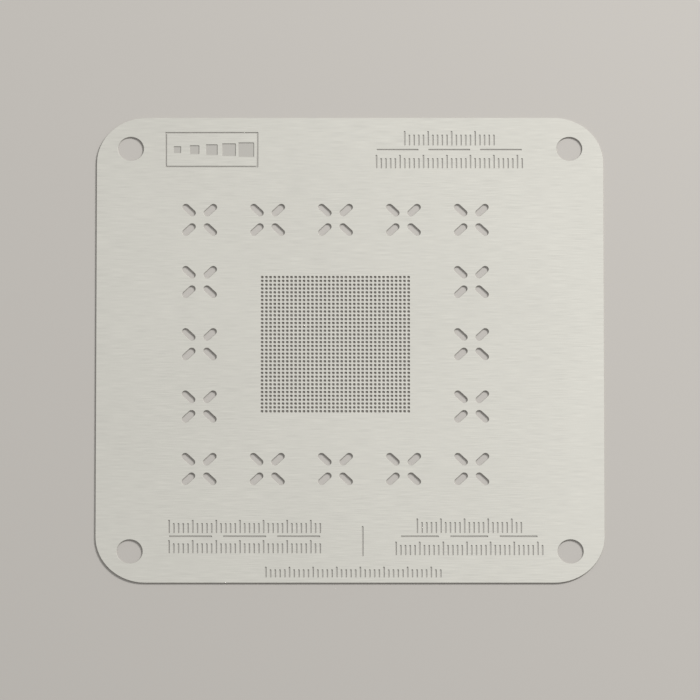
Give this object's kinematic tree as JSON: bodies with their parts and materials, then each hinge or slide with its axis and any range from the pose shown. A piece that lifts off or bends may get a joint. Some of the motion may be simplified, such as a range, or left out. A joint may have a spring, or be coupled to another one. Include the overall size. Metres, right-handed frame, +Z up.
{
  "type": "solder paste stencil",
  "caption": "Small square sheet of thin steel with a fine field of square apertures, crossed slots around it and a locating hole at each corner, for printing solder paste.",
  "frame": {"origin": "centre of the sheet's underside", "axes": "+Z up through the sheet's thickness to the face with the marks, +Y towards the edge with the framed gauge, +X to the right as the marks are seen"},
  "size_m": [0.0486, 0.0486, 0.0001],
  "materials": {
    "stencil_steel": "matt pale stainless steel, as rolled and etched"
  },
  "bodies": {
    "root": {"stencil_sheet": "stencil_steel"}
  },
  "joints": []
}
